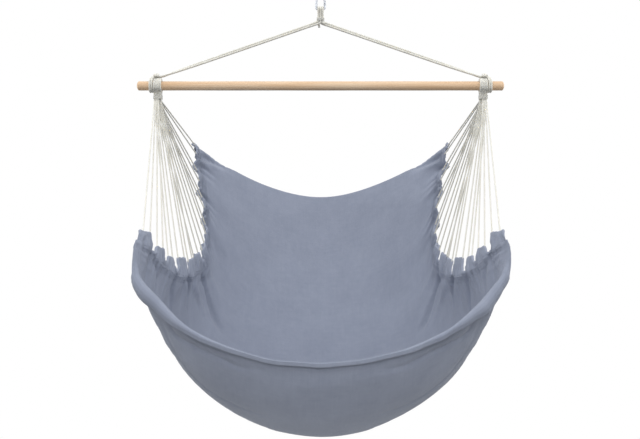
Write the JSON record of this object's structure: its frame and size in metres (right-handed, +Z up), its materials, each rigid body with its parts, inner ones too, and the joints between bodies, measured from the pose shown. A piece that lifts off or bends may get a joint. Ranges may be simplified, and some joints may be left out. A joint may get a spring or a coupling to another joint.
{
  "type": "hammock chair",
  "caption": "Hanging hammock chair with a cloth seat on two cord fans, a round wooden spreader bar, a doubled rope and a snap hook.",
  "frame": {"origin": "the hanging point, inside the top bow of the snap hook", "axes": "+Z up, +X along the spreader bar to the right of someone who looks at the front, -Y towards the front of the seat"},
  "size_m": [1, 0.8699, 1.1831],
  "materials": {
    "zinc_plated_steel": "bright zinc plate, slightly dull",
    "cotton_rope": "off-white twisted cotton rope, matt",
    "beech": "plain sanded beech, matt",
    "cotton_canvas": "plain woven blue-grey cotton canvas, matt"
  },
  "bodies": {
    "hook": {"snap_hook_body": "zinc_plated_steel", "snap_hook_pin": "zinc_plated_steel"},
    "gate": {"snap_hook_gate": "zinc_plated_steel"},
    "suspension": {"eye_seizing": "cotton_rope", "rope_tail_left": "cotton_rope", "rope_tail_right": "cotton_rope", "spreader_bar": "beech", "suspension_eye": "cotton_rope", "suspension_rope_left": "cotton_rope", "suspension_rope_right": "cotton_rope"},
    "seat": {"left_bundle_eye": "cotton_rope", "left_fan_cord_01": "cotton_rope", "left_fan_cord_02": "cotton_rope", "left_fan_cord_03": "cotton_rope", "left_fan_cord_04": "cotton_rope", "left_fan_cord_05": "cotton_rope", "left_fan_cord_06": "cotton_rope", "left_fan_cord_07": "cotton_rope", "left_fan_cord_08": "cotton_rope", "left_fan_cord_09": "cotton_rope", "left_fan_cord_10": "cotton_rope", "left_fan_cord_11": "cotton_rope", "left_side_hem": "cotton_canvas", "left_whipping": "cotton_rope", "right_bundle_eye": "cotton_rope", "right_fan_cord_01": "cotton_rope", "right_fan_cord_02": "cotton_rope", "right_fan_cord_03": "cotton_rope", "right_fan_cord_04": "cotton_rope", "right_fan_cord_05": "cotton_rope", "right_fan_cord_06": "cotton_rope", "right_fan_cord_07": "cotton_rope", "right_fan_cord_08": "cotton_rope", "right_fan_cord_09": "cotton_rope", "right_fan_cord_10": "cotton_rope", "right_fan_cord_11": "cotton_rope", "right_side_hem": "cotton_canvas", "right_whipping": "cotton_rope", "seat_cloth": "cotton_canvas"}
  },
  "joints": [
    {"name": "gate_hinge", "type": "hinge", "parent": "hook", "child": "gate", "pos_m": [0.0117, 0, -0.0404], "axis": [0, 1, 0], "range_deg": [-22, 0], "stiffness_Nm_per_rad": 0.02, "springref_deg": 11.46},
    {"name": "rope_swing", "type": "hinge", "parent": "hook", "child": "suspension", "pos_m": [0, 0, -0.057], "axis": [1, 0, 0], "range_deg": [-25, 25]},
    {"name": "seat_tilt", "type": "hinge", "parent": "suspension", "child": "seat", "pos_m": [0, 0, -0.265], "axis": [1, 0, 0], "range_deg": [-20, 20]}
  ]
}
